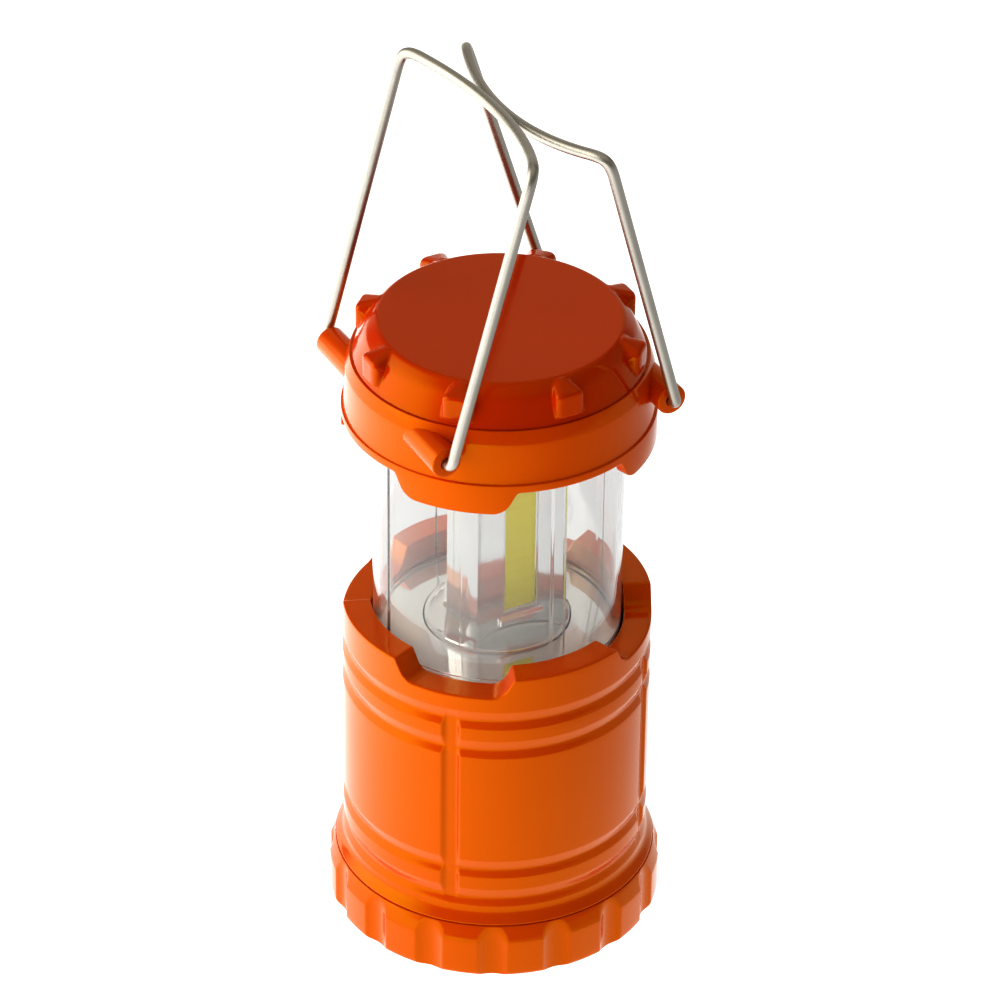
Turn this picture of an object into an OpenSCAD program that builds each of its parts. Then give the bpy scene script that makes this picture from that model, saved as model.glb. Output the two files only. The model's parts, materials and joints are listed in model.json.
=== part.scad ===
// Pop-up camping lantern: a lamp head that slides down into its battery housing.
// Origin at the centre of the base's underside, +Z up, millimetres, lamp pulled up.

/* [Overall] */
// Outside diameter of the housing and of the head's skirt
body_d = 60; // [60:0.5:64]
// Height of the screw-on base cap
base_h = 11.4; // [11:0.2:12]
// Height of the housing's rim
rim_z = 68.9; // [68:0.1:72]
// Height of lens that shows when the lamp is pulled up
window_h = 42.4; // [42:0.1:44]
// Height of the lamp head from the skirt's edge to the flat top
head_h = 20; // [19.5:0.1:22]
// How far the lamp head slides down
travel = 41.5; // [30:0.5:41.5]

/* [Housing details] */
// Wall thickness of the housing
wall = 1.6; // [1.4:0.1:1.6]
// Depth of the rim notches
notch_depth = 4.2; // [3.5:0.1:4.2]
// Depth of the ring grooves and upright channels
groove_depth = 0.7; // [0.3:0.1:0.9]
// Height of each ring groove
groove_w = 4.1; // [3:0.1:4.6]
// Width of each upright channel
channel_w = 3.7; // [2:0.1:5]

/* [Base cap] */
// Number of grip scallops round the base
scallops = 16; // [12:1:20]
// Turn of the base cap on its thread, in degrees
cap_turn = -6; // [-12:0.5:12]
// Depth of each scallop
scallop_depth = 1.1; // [0.6:0.1:1.3]
// Radius of the cutter that makes a scallop
scallop_r = 4.6; // [4:0.1:6]

/* [Lamp] */
// Outside diameter of the clear lens over its ribs
lens_d = 48.8; // [47:0.1:48.8]
// Wall thickness of the lens
lens_wall = 1.3; // [1.2:0.1:1.5]
// Distance from the axis to each flat face of the column
column_flat = 9.3; // [9:0.1:9.6]
// Radius of the column's rounded corners about the axis
column_r = 13.1; // [12.8:0.1:13.2]
// Width of each light strip
strip_w = 7; // [6:0.1:8]
// Length of each light strip
strip_l = 34; // [30:0.5:36]

/* [Bails] */
// Diameter of the bail wire
wire_d = 2.2; // [1.8:0.1:2.2]
// Length of a bail leg, from hinge axis to crossbar
bail_leg = 60.6; // [59:0.1:62]
// Half the distance between a bail's legs
bail_half = 25.7; // [25.7:0.1:27]
// Lean of each bail towards the middle, in degrees
bail_lean = 15.6; // [10:0.1:15.6]
// Turn of the crossbar out of the bail's plane at each corner, in degrees
bail_turn = 27; // [15:1:27]

/* [Cells] */
// Diameter of an AAA cell
cell_d = 10.5; // [10:0.1:10.5]
// Length of an AAA cell with its nub
cell_l = 44.5; // [44:0.1:44.5]

/* [Hidden] */
$fn = 96;
eps = 0.01;

body_r = body_d / 2;
bore_r = body_r - wall;

// Base cap
floor_t = 2;
base_r = body_r + 2.8;
base_chamfer = 3.2;
cap_bore_r = body_r + 0.3;
base_edge = 0.7;
seam_gap = 0.1;
seal_d = 1.1;
seal_z = base_h - 2.4;
seal_r = cap_bore_r - 0.1 - seal_d / 2;

// Housing
skirt_r = body_r - 0.1;
skirt_bottom = floor_t + 0.6;
flare_r = body_r + 1.5;
flare_h = 2.1;
rim_bore_r = lens_d / 2 + 0.5;
stop_z = rim_z - 9;
rim_edge = 0.6;
groove_drop = 0.3;
upper_grooves = [rim_z - 9.5, rim_z - 16.3];
lower_grooves = [base_h + 12.6, base_h + 5.7];
corner_angles = [45, 135, 225, 315];
notch_foot = 7.6;
notch_head = 11.6;
notch_in = 20;

// Cells and their tray
cell_r = cell_d / 2;
cell_z = floor_t + 1.05 + cell_r;
cell_pitch = cell_d + 0.2;
nub_l = 0.8;
nub_r = 1.9;
pad_t = 0.75;
pad_l = 40;
pad_w = 30;
tray_roof_z = cell_z + cell_r + 0.1;
tray_t = 1;
tray_r = bore_r - 0.3;
end_wall_w = 28;
side_wall_l = 40;
side_wall_y = 16.1;
ledge_z = tray_roof_z + tray_t + 0.1;
ledge_h = 5;
ledge_r = lens_d / 2 + 0.6;
ledge_w = 4.4;
tray_screw_r = 26.6;
plate_t = 0.3;
plate_x = cell_l / 2 + 2.15;
plate_half = 2.2;
plate_low = 4.5;
plate_high = 12;
rail_angle = atan2(-cell_pitch - 0.5, plate_x + 1.3);
rail_w = 4;
rail_t = 0.25;
rail_out = bore_r - 0.1;
rail_pad = 0.15;
rail_pad_l = 9;
rail_top = stop_z - 0.4;
screw_r = 0.9;
screw_gap = 0.05;
screw_clear = 0.1;
screw_head_r = 1.6;

// Sliding unit
slide_top = stop_z - 0.3;
slide_t = 3;
slide_z = slide_top - slide_t;
slide_r = bore_r - 0.5;
mirror_z = rim_z - 4.5;
mirror_t = 1.2;
dish_fall = 0.8;
lens_r = lens_d / 2;
rib_w = 2.8;
rib_out = 0.3;
tube_r = lens_r - rib_out;
seat_r = tube_r - 0.6;
seat_z = mirror_z + 0.1;
mirror_r = seat_r - 0.1;
ring_wall_r = 21.5;
foot_r = column_r + 1;
foot_z = mirror_z - 1;
foot_top = mirror_z + 0.4;
foot_lip = 0.4;
column_wall = 2;
column_screw_r = 10;
boss_r = 2.1;
boss_shift = 0.9;
boss_h = 7;
lead_hole_r = 5;
board_r = 8.6;
strip_z = mirror_z + 6.8;
strip_t = 1.1;
strip_sunk = 0.2;
sill_h = 1.6;
sill_w = strip_w + 2.4;
wiper_w = 3;
wiper_in = 24.6;

// Lamp head
skirt_z = rim_z + window_h;
top_z = skirt_z + head_h;
tab_drop = 4.65;
skirt_wall = 2.6;
skirt_top = skirt_z + 1.7;
floor_z = skirt_top + 0.1;
floor_h = 1.5;
floor_bore_r = 12;
window_top_t = 1.5;
seam_z = top_z - 7.2;
ring_r = body_r - 0.4;
seam_r = body_r - 1.9;
ring_edge_r = body_r - 1.65;
ring_break_r = body_r - 0.75;
flat_r = 23.4;
ring_bore_r = body_r - 3;
shell_t = 1.8;
lens_top = floor_z - 0.05;
column_top = lens_top - 3;
head_screw_r = 18;
spigot_r = ring_bore_r - 1.3;
knob_r = body_r - 2;
knob_w = 6.4;
knobs = 8;
cap_boss_r = 2.6;

// Bails
wire_r = wire_d / 2;
hinge_y = 23.7;
hinge_z = top_z - 11.8;
lug_r = 3;
lug_root = 13;
lug_end = bail_half - 1.7;
pin_end = 18;
corner_r = wire_r + 0.1;

// A copy of the children at each of a list of angles about the axis
module at_angles(angles) {
    for (a = angles) rotate(a) children();
}

// A tube with a flat top and bottom
module tube(r_out, r_in, z0, z1) {
    translate([0, 0, z0]) difference() {
        cylinder(r = r_out, h = z1 - z0);
        translate([0, 0, -eps]) cylinder(r = r_in, h = z1 - z0 + 2 * eps);
    }
}

// A box from radius r0 to r1 along +X, centred across Y
module radial_box(r0, r1, w, z0, z1) {
    translate([r0, -w / 2, z0]) cube([r1 - r0, w, z1 - z0]);
}

// A trapezoid standing on its foot, run outwards along +X
module radial_wedge(r0, r1, foot, head, z0, z1) {
    translate([r0, 0, 0]) rotate([90, 0, 90]) linear_extrude(height = r1 - r0)
        polygon([[-foot, z0], [foot, z0], [head, z1], [-head, z1]]);
}

// A screw standing on its head, with the head's underside at z
module screw(z, shank, head_r = screw_head_r, head_h = 1.2) {
    translate([0, 0, z - head_h]) cylinder(r = head_r, h = head_h, $fn = 32);
    translate([0, 0, z - eps]) cylinder(r = screw_r, h = shank + eps, $fn = 32);
}

// ---- Base ----

module base_cap() {
    color("darkorange") difference() {
        rotate_extrude() polygon([
            [0, 0], [base_r - base_edge, 0], [base_r, base_edge], [base_r, base_h - base_chamfer],
            [flare_r + 0.1, base_h], [cap_bore_r, base_h], [cap_bore_r, floor_t], [0, floor_t]
        ]);
        for (i = [0 : scallops - 1]) rotate(cap_turn + i * 360 / scallops)
            translate([base_r - scallop_depth + scallop_r, 0, -1])
                cylinder(r = scallop_r, h = base_h + 2, $fn = 48);
    }
}

module battery_pad() {
    color("dimgray") translate([-pad_l / 2, -pad_w / 2, floor_t]) cube([pad_l, pad_w, pad_t]);
}

module base_seal() {
    color("black") translate([0, 0, seal_z])
        rotate_extrude() translate([seal_r, 0]) circle(r = seal_d / 2, $fn = 24);
}

// ---- Housing ----

// Corners of one ring groove in the housing's outline, from top to bottom
function groove(z) = [
    [body_r, z + groove_w / 2],
    [body_r - groove_depth, z - groove_drop],
    [body_r, z - groove_w / 2]
];

module housing_shell() {
    rotate_extrude() polygon(concat(
        [[rim_bore_r, rim_z - rim_edge], [rim_bore_r + rim_edge, rim_z],
         [body_r - rim_edge, rim_z], [body_r, rim_z - rim_edge]],
        groove(upper_grooves[0]), groove(upper_grooves[1]),
        groove(lower_grooves[0]), groove(lower_grooves[1]),
        [[body_r, base_h + flare_h], [flare_r, base_h + 0.7], [flare_r, base_h + seam_gap],
         [skirt_r, base_h + seam_gap], [skirt_r, seal_z + 0.6], [seal_r - seal_d / 2 - 0.05, seal_z + 0.6],
         [seal_r - seal_d / 2 - 0.05, seal_z - 0.6], [skirt_r, seal_z - 0.6],
         [skirt_r, skirt_bottom], [bore_r, skirt_bottom], [bore_r, stop_z], [rim_bore_r, stop_z]]
    ));
}

module housing() {
    color("darkorange") {
        difference() {
            housing_shell();
            at_angles(corner_angles) {
                radial_box(body_r - groove_depth - 0.1, body_r + 1, channel_w,
                    lower_grooves[1] - 1, upper_grooves[0] + 1);
                radial_wedge(notch_in, body_r + 5, notch_foot, notch_head, rim_z - notch_depth, rim_z + eps);
            }
        }
        at_angles([90, 270]) difference() {
            intersection() {
                radial_box(ledge_r, body_r, ledge_w, ledge_z, ledge_z + ledge_h);
                cylinder(r = bore_r + 0.2, h = rim_z);
            }
            translate([tray_screw_r, 0, ledge_z - 1]) cylinder(r = screw_r + screw_gap, h = ledge_h, $fn = 32);
        }
    }
}

// ---- Cells ----

module cell(row, nub_side) {
    translate([0, row * cell_pitch, cell_z]) rotate([0, nub_side * 90, 0]) {
        translate([0, 0, -cell_l / 2]) cylinder(r = cell_r, h = cell_l - nub_l);
        translate([0, 0, cell_l / 2 - nub_l - eps]) cylinder(r = nub_r, h = nub_l + eps, $fn = 32);
    }
}

module battery_1() { color("silver") cell(-1, 1); }
module battery_2() { color("silver") cell(0, -1); }
module battery_3() { color("silver") cell(1, 1); }

module battery_tray() {
    wall_x = plate_x + plate_t;
    wall_h = tray_roof_z - plate_low + 1 + eps;
    color("black") difference() {
        intersection() {
            union() {
                translate([0, 0, tray_roof_z]) cylinder(r = tray_r, h = tray_t);
                for (s = [-1, 1]) {
                    translate([s > 0 ? wall_x : -wall_x - tray_t, -end_wall_w / 2, plate_low - 1])
                        cube([tray_t, end_wall_w, wall_h]);
                    translate([-side_wall_l / 2, s > 0 ? side_wall_y : -side_wall_y - tray_t, plate_low - 1])
                        cube([side_wall_l, tray_t, wall_h]);
                }
            }
            cylinder(r = tray_r, h = ledge_z);
        }
        at_angles([rail_angle, rail_angle + 180])
            radial_box(25, body_r, rail_w + 0.6, 9, ledge_z + 1);
        at_angles([90, 270]) translate([tray_screw_r, 0, 0])
            cylinder(r = screw_r + screw_clear, h = ledge_z + 1, $fn = 32);
    }
}

module tray_screws() {
    color("gray") at_angles([90, 270]) translate([tray_screw_r, 0, 0])
        screw(tray_roof_z, 5, 1.5);
}

// A conical coil of round wire from the cell's end out to its contact plate
module coil(turns = 2.5, wire = 0.5, length = 2) {
    steps = 30;
    sides = 8;
    function ring_r(i) = 2 + i / steps;
    function point(i, j) =
        let (a = turns * 360 * i / steps, b = 360 * j / sides, r = ring_r(i) + wire / 2 * cos(b))
        [r * cos(a), r * sin(a), wire / 2 + (length - wire) * i / steps + wire / 2 * sin(b)];
    points = [for (i = [0 : steps]) for (j = [0 : sides - 1]) point(i, j)];
    quads = [for (i = [0 : steps - 1]) for (j = [0 : sides - 1])
        [i * sides + j, i * sides + (j + 1) % sides, (i + 1) * sides + (j + 1) % sides, (i + 1) * sides + j]];
    caps = [[for (j = [sides - 1 : -1 : 0]) j], [for (j = [0 : sides - 1]) steps * sides + j]];
    polyhedron(points, concat(quads, caps), convexity = 4);
}

module contact_springs() {
    color("silver") {
        translate([-cell_l / 2 - 0.05, -cell_pitch, cell_z]) rotate([0, -90, 0]) coil();
        translate([cell_l / 2 + 0.05, 0, cell_z]) rotate([0, 90, 0]) coil();
        translate([-cell_l / 2 - 0.05, cell_pitch, cell_z]) rotate([0, -90, 0]) coil();
    }
}

// A contact plate in front of the tray's end wall, from row y0 to row y1
module plate(side, y0, y1) {
    translate([side > 0 ? plate_x : -plate_x - plate_t, y0 - plate_half, plate_low])
        cube([plate_t, y1 - y0 + 2 * plate_half, plate_high - plate_low]);
}

module cell_link_a() { color("silver") plate(-1, -cell_pitch, 0); }
module cell_link_b() { color("silver") plate(1, 0, cell_pitch); }

// One end contact with its upright rail on the housing wall
module rail() {
    plate(1, -cell_pitch, -cell_pitch);
    rotate(rail_angle) {
        radial_box(plate_x + 1.9, rail_out - eps, 2.6, plate_high - 0.4, plate_high);
        radial_box(rail_out - rail_t, rail_out, rail_w, plate_high - 1, rail_top);
        radial_box(rail_out - rail_t - rail_pad, rail_out - rail_t + eps, rail_w,
            rail_top - rail_pad_l, rail_top);
    }
}

module rail_positive() { color("silver") rail(); }
module rail_negative() { color("silver") rotate(180) rail(); }

// ---- Sliding unit ----

column_corners = [60, 180, 300];
column_faces = [0, 120, 240];
rail_angles = [rail_angle, rail_angle + 180];

module slider_base() {
    color("dimgray") difference() {
        union() {
            translate([0, 0, slide_z]) cylinder(r = slide_r, h = slide_t);
            tube(ring_wall_r, ring_wall_r - 1.5, slide_top - eps, mirror_z - mirror_t);
            tube(foot_r - 1, board_r + 0.2, slide_top - eps, foot_z);
        }
        translate([0, 0, slide_z - 1]) cylinder(r = lead_hole_r, h = slide_t + 2);
        at_angles([90, 270]) radial_box(ledge_r - 0.3, body_r, ledge_w + 0.8, slide_z - 1, slide_top + 1);
        at_angles(rail_angles) {
            radial_box(rail_out - 1.7, body_r, rail_w + 2, slide_z - 1, slide_top + 1);
            radial_box(wiper_in - 0.1, body_r, wiper_w + 0.2, slide_z - 1, slide_z + plate_t + 0.1);
        }
        at_angles(column_corners) translate([column_screw_r, 0, 0]) {
            translate([0, 0, slide_z - 1]) cylinder(r = screw_r + screw_clear, h = 20, $fn = 32);
            translate([0, 0, slide_z - 1]) cylinder(r = screw_head_r + 0.2, h = 2.5, $fn = 32);
        }
    }
}

module slider_screws() {
    color("gray") at_angles(column_corners) translate([column_screw_r, 0, 0])
        screw(slide_z + 1.5, 10);
}

module wiper() {
    leaf = rail_out - rail_t - rail_pad - 0.6;
    radial_box(wiper_in, leaf, wiper_w, slide_z + 0.05, slide_z + 0.05 + plate_t);
    radial_box(leaf - plate_t, leaf, wiper_w, slide_z + 0.05, slide_top - 0.2);
    translate([leaf, 0, slide_z + 1.8]) rotate([90, 0, 0])
        cylinder(r = 0.52, h = wiper_w - 1, center = true, $fn = 24);
}

module wiper_positive() { color("gold") rotate(rail_angle) wiper(); }
module wiper_negative() { color("gold") rotate(rail_angle + 180) wiper(); }

module led_board() {
    color("darkgreen") {
        translate([0, 0, slide_top]) cylinder(r = board_r, h = 1.2);
        for (y = [-3, 0, 3]) translate([-1.6, y - 0.7, slide_top + 1.2 - eps]) cube([3.2, 1.4, 0.7]);
    }
}

module lens() {
    color("white", 0.3) {
        tube(tube_r, seat_r, slide_top, seat_z + eps);
        tube(tube_r, tube_r - lens_wall, seat_z, lens_top);
        at_angles([0, 90, 180, 270])
            radial_box(tube_r - 0.4, lens_r, rib_w, slide_top + 1, lens_top - 1);
        difference() {
            translate([0, 0, lens_top - window_top_t]) cylinder(r = tube_r - 0.5, h = window_top_t);
            at_angles(column_corners) translate([head_screw_r, 0, lens_top - 3])
                cylinder(r = screw_r + screw_clear, h = 4, $fn = 32);
        }
    }
}

module reflector_disc() {
    bore = foot_r + 0.25;
    color("gainsboro") rotate_extrude() polygon([
        [bore, mirror_z - mirror_t], [mirror_r, mirror_z - mirror_t], [mirror_r, mirror_z - dish_fall],
        [bore, mirror_z]
    ]);
}

// A round bar with a flat on each side that faces a light strip
module three_flats(r, flat, z0, z1) {
    difference() {
        translate([0, 0, z0]) cylinder(r = r, h = z1 - z0);
        at_angles(column_faces) radial_box(flat, r + 1, 2 * r, z0 - 1, z1 + 1);
    }
}

module reflector_column() {
    color("gainsboro") {
        difference() {
            three_flats(column_r, column_flat, foot_z, column_top);
            three_flats(column_r - column_wall, column_flat - column_wall, foot_z - 1, column_top - 1.5);
            at_angles(column_faces)
                radial_box(column_flat - strip_t - strip_sunk - 0.1, column_flat + 1, strip_w + 0.2,
                    strip_z - 0.1, strip_z + strip_l + 0.1);
        }
        difference() {
            union() {
                at_angles(column_corners) translate([column_screw_r - boss_shift, 0, foot_z])
                    cylinder(r = boss_r, h = boss_h, $fn = 48);
                tube(foot_r, column_flat - 0.1, foot_z + 0.2, foot_top - foot_lip);
            }
            at_angles(column_corners) translate([column_screw_r, 0, foot_z - 1])
                cylinder(r = screw_r + screw_gap, h = 9, $fn = 32);
        }
        tube(foot_r, column_r, foot_top - foot_lip - eps, foot_top);
        at_angles(column_faces) radial_box(column_flat - 0.5, column_flat + 0.9, sill_w,
            strip_z - 1.3 - sill_h, strip_z - 1.3);
    }
}

module cob_strip(angle) {
    color("khaki") rotate(angle)
        radial_box(column_flat - strip_t - strip_sunk, column_flat - strip_sunk, strip_w,
            strip_z, strip_z + strip_l);
}

module cob_strip_1() { cob_strip(0); }
module cob_strip_2() { cob_strip(120); }
module cob_strip_3() { cob_strip(240); }

// ---- Lamp head ----

// Centre of each lug: hinge axes run along X on either side
module at_lugs() {
    for (sx = [-1, 1]) for (sy = [-1, 1])
        translate([0, sy * hinge_y, hinge_z]) rotate([0, sx * 90, 0]) children();
}

module head_ring() {
    color("darkorange") difference() {
        union() {
            rotate_extrude() polygon([
                [body_r - skirt_wall, skirt_z], [body_r - 0.4, skirt_z], [body_r, skirt_z + 0.4],
                [body_r, skirt_top - 0.2], [ring_r, skirt_top + 0.1], [ring_r - 0.2, skirt_top + 3],
                [ring_break_r, seam_z - 2.7], [ring_edge_r, seam_z - 0.15], [ring_bore_r, seam_z - 0.15],
                [ring_bore_r, floor_z + floor_h], [floor_bore_r, floor_z + floor_h], [floor_bore_r, floor_z],
                [body_r - skirt_wall, floor_z]
            ]);
            intersection() {
                tube(body_r, body_r - skirt_wall, skirt_z - tab_drop, skirt_z + 0.5);
                at_angles(corner_angles)
                    radial_wedge(notch_in, body_r + 5, notch_foot - 0.4, notch_head - 0.2,
                        skirt_z - tab_drop, skirt_z);
            }
            at_lugs() translate([0, 0, lug_root]) cylinder(r = lug_r, h = lug_end - lug_root);
        }
        translate([0, 0, floor_z + floor_h]) cylinder(r = ring_bore_r, h = head_h);
        at_lugs() translate([0, 0, pin_end - 0.5]) cylinder(r = wire_r + 0.08, h = 20);
        at_angles(column_corners) translate([head_screw_r, 0, floor_z - 1])
            cylinder(r = screw_r + screw_clear, h = 4, $fn = 32);
    }
}

module head_screws() {
    color("gray") at_angles(column_corners) translate([head_screw_r, 0, 0])
        screw(lens_top - window_top_t, 10);
}

module top_cap() {
    color("darkorange") difference() {
        union() {
            rotate_extrude() polygon([
                [seam_r, seam_z], [seam_r - 0.8, seam_z + 2.2], [seam_r - 2.3, seam_z + 4.9], [flat_r, top_z],
                [0, top_z], [0, top_z - shell_t], [flat_r - 1.2, top_z - shell_t],
                [spigot_r - 0.8, seam_z + 3], [spigot_r, seam_z + 0.6], [spigot_r, seam_z - 2.6],
                [ring_bore_r - 0.1, seam_z - 2.6], [ring_bore_r - 0.1, seam_z]
            ]);
            for (i = [0 : knobs - 1]) rotate(i * 360 / knobs) translate([0, knob_w / 2, 0]) rotate([90, 0, 0])
                linear_extrude(height = knob_w) polygon([
                    [spigot_r - 0.2, seam_z + 2.5], [knob_r - 0.3, seam_z + 0.9], [knob_r, seam_z + 1.2],
                    [knob_r, top_z - 1.7], [knob_r - 1, top_z - 0.6], [flat_r - 0.3, top_z - 0.1],
                    [flat_r - 0.3, top_z - 1.4]
                ]);
            at_angles(column_corners) translate([head_screw_r, 0, floor_z + floor_h + 0.1])
                cylinder(r = cap_boss_r, h = top_z - floor_z - floor_h - 1);
        }
        at_angles(column_corners) translate([head_screw_r, 0, floor_z])
            cylinder(r = screw_r + screw_gap, h = 10, $fn = 32);
    }
}

// ---- Bails ----

// Wire of one bail, standing up from its hinge axis, its crossbar bowed towards +Y
module bail_wire() {
    bar_r = bail_half / sin(bail_turn);
    for (s = [-1, 1]) translate([s * bail_half, 0, 0]) {
        rotate([0, -s * 90, 0]) cylinder(r = wire_r, h = bail_half - pin_end, $fn = 32);
        cylinder(r = wire_r, h = bail_leg, $fn = 32);
        sphere(r = corner_r, $fn = 32);
        translate([0, 0, bail_leg]) sphere(r = corner_r, $fn = 32);
    }
    translate([0, -bar_r * cos(bail_turn), bail_leg]) rotate(90 - bail_turn)
        rotate_extrude(angle = 2 * bail_turn) translate([bar_r, 0]) circle(r = wire_r, $fn = 32);
}

module bail() {
    color("lightgray") translate([0, -hinge_y, hinge_z]) rotate([-bail_lean, 0, 0]) bail_wire();
}

module bail_front() { bail(); }
module bail_back() { mirror([0, 1, 0]) bail(); }

base_cap();
battery_pad();
base_seal();
housing();
battery_tray();
tray_screws();
battery_1();
battery_2();
battery_3();
contact_springs();
cell_link_a();
cell_link_b();
rail_positive();
rail_negative();
slider_base();
slider_screws();
wiper_positive();
wiper_negative();
led_board();
lens();
reflector_disc();
reflector_column();
cob_strip_1();
cob_strip_2();
cob_strip_3();
head_ring();
head_screws();
top_cap();
bail_front();
bail_back();
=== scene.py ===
"""Looks of the pop-up camping lantern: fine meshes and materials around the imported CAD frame.

Lengths in the shape functions are millimetres and become metres when a mesh is made.
"""
import json
import math

import bmesh
import bpy
import numpy as np
from mathutils import Matrix, Vector


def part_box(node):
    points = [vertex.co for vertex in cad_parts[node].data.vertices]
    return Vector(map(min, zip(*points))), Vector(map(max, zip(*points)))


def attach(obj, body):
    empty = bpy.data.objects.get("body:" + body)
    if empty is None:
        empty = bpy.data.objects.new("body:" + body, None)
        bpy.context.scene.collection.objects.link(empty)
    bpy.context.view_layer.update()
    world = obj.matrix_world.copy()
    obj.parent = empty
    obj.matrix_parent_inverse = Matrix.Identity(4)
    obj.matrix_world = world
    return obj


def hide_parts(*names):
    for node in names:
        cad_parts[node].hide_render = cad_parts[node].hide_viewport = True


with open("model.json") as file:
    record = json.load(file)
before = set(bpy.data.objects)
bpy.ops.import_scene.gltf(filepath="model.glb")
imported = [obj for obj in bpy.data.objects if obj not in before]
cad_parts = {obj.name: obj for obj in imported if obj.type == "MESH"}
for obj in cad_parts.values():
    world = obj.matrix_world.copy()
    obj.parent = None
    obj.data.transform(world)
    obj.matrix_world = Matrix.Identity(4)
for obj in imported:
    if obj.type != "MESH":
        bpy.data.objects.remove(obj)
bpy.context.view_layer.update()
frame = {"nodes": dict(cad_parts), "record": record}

MM = 0.001
PI = math.pi


def box_mm(node):
    """Lowest and highest corner of a CAD node, in millimetres."""
    low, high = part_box(node)
    return np.array(low) / MM, np.array(high) / MM


# ---- Main sizes, from the frame ----

_, base_high = box_mm("base_cap")
housing_low, housing_high = box_mm("housing")
ring_low, ring_high = box_mm("head_ring")
_, cap_high = box_mm("top_cap")
lens_low, lens_high = box_mm("lens")
disc_low, disc_high = box_mm("reflector_disc")
column_low, column_high = box_mm("reflector_column")
seal_low, seal_high = box_mm("base_seal")

BODY_R = housing_high[0] - 1.5
BASE_R = base_high[0]
BASE_TOP = base_high[2]
RIM_Z = housing_high[2]
SKIRT_Z = ring_low[2] + 4.65
SEAM_Z = ring_high[2] + 0.15
TOP_Z = cap_high[2]
LENS_R = lens_high[0]
MIRROR_Z = disc_high[2]
LUG_Y = 23.7
LUG_END = 24.0
LUG_Z = TOP_Z - 11.8

CORNERS = (45, 135, 225, 315)
QUARTERS = (0, 90, 180, 270)
FACES = (0, 120, 240)


# ---- Shape tools ----

def smin(a, b, k):
    """The smaller of two fields, blended over a width k."""
    h = np.maximum(k - np.abs(a - b), 0) / k
    return np.minimum(a, b) - h * h * k / 4


def smax(a, b, k):
    """The larger of two fields, blended over a width k."""
    return -smin(-a, -b, k)


def ease(t):
    """A smooth step from 0 to 1."""
    t = np.clip(t, 0, 1)
    return t * t * (3 - 2 * t)


def turn_from(angle, centres):
    """Signed turn in degrees from the nearest of several angles."""
    turns = (np.subtract.outer(np.asarray(angle, float), centres) + 180) % 360 - 180
    return np.take_along_axis(turns, np.abs(turns).argmin(-1)[..., None], -1)[..., 0]


def rounded(corners, closed=False, arc=12):
    """Points along an outline of (r, z, radius) corners, each turned on an arc of that radius."""
    count = len(corners)
    points = []
    for i, (r, z, radius) in enumerate(corners):
        here = np.array([r, z], float)
        if radius <= 0 or (not closed and i in (0, count - 1)):
            points.append(here)
            continue
        back = np.array(corners[i - 1][:2], float) - here
        on = np.array(corners[(i + 1) % count][:2], float) - here
        back /= np.linalg.norm(back)
        on /= np.linalg.norm(on)
        half = math.acos(np.clip(back @ on, -1, 1)) / 2
        centre = here + (back + on) / np.linalg.norm(back + on) * radius / math.sin(half)
        start = here + back * radius / math.tan(half) - centre
        swing = PI - 2 * half
        side = np.sign(back[1] * on[0] - back[0] * on[1])
        steps = max(2, math.ceil(math.degrees(swing) / arc))
        for a in np.linspace(0, side * swing, steps + 1):
            turned = (start[0] * math.cos(a) - start[1] * math.sin(a),
                      start[0] * math.sin(a) + start[1] * math.cos(a))
            points.append(centre + turned)
    return np.array(points)


def refined(points, step, closed=False):
    """The same outline with no gap between points longer than step."""
    fine = []
    ends = np.vstack([points[1:], points[:1]]) if closed else points[1:]
    for a, b in zip(points, ends):
        gap = np.linalg.norm(b - a)
        if gap < 1e-6:
            continue
        fine += [a + (b - a) * t for t in np.arange(math.ceil(gap / step)) / math.ceil(gap / step)]
    return np.array(fine if closed else fine + [points[-1]])


def spread_angles(centres, bands, period):
    """Angles round the axis: on both sides of each centre, bands of (end, step) in degrees."""
    side = [0.0]
    for end, step in bands:
        count = max(1, round((end - side[-1]) / step))
        side += list(np.linspace(side[-1], end, count + 1)[1:])
    one = sorted({round(a, 6) for a in side} | {round(-a, 6) for a in side})
    if abs(one[-1] - one[0] - period) < 1e-6:
        one = one[:-1]
    return np.sort(np.array([(c + a) % 360 for c in centres for a in one]))


def finish_mesh(name, verts, faces, sharp=35):
    """A mesh object from millimetre points, welded, shaded smooth, creased at sharp turns."""
    mesh = bpy.data.meshes.new(name)
    mesh.from_pydata([tuple(v) for v in np.asarray(verts) * MM], [], faces)
    work = bmesh.new()
    work.from_mesh(mesh)
    bmesh.ops.remove_doubles(work, verts=work.verts, dist=2e-7)
    bmesh.ops.dissolve_degenerate(work, edges=work.edges, dist=1e-8)
    work.to_mesh(mesh)
    work.free()
    mesh.shade_smooth()
    mesh.set_sharp_from_angle(angle=math.radians(sharp))
    piece = bpy.data.objects.new(name, mesh)
    bpy.context.scene.collection.objects.link(piece)
    return piece


def grid_faces(rows, cols, wrap_rows, wrap_cols, first=0):
    """Quads over a grid of points, facing out when rows run round and columns run up."""
    row_ends = rows if wrap_rows else rows - 1
    col_ends = cols if wrap_cols else cols - 1
    i, j = np.meshgrid(np.arange(row_ends), np.arange(col_ends), indexing="ij")
    a = i * cols + j
    b = (i + 1) % rows * cols + j
    c = (i + 1) % rows * cols + (j + 1) % cols
    d = i * cols + (j + 1) % cols
    return (np.stack([a, b, c, d], -1).reshape(-1, 4) + first).tolist()


def grid_piece(name, points, wrap_rows=True, wrap_cols=False, sharp=35):
    """One piece from a grid of points."""
    rows, cols = points.shape[:2]
    faces = grid_faces(rows, cols, wrap_rows, wrap_cols)
    return finish_mesh(name, points.reshape(-1, 3), faces, sharp)


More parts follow.
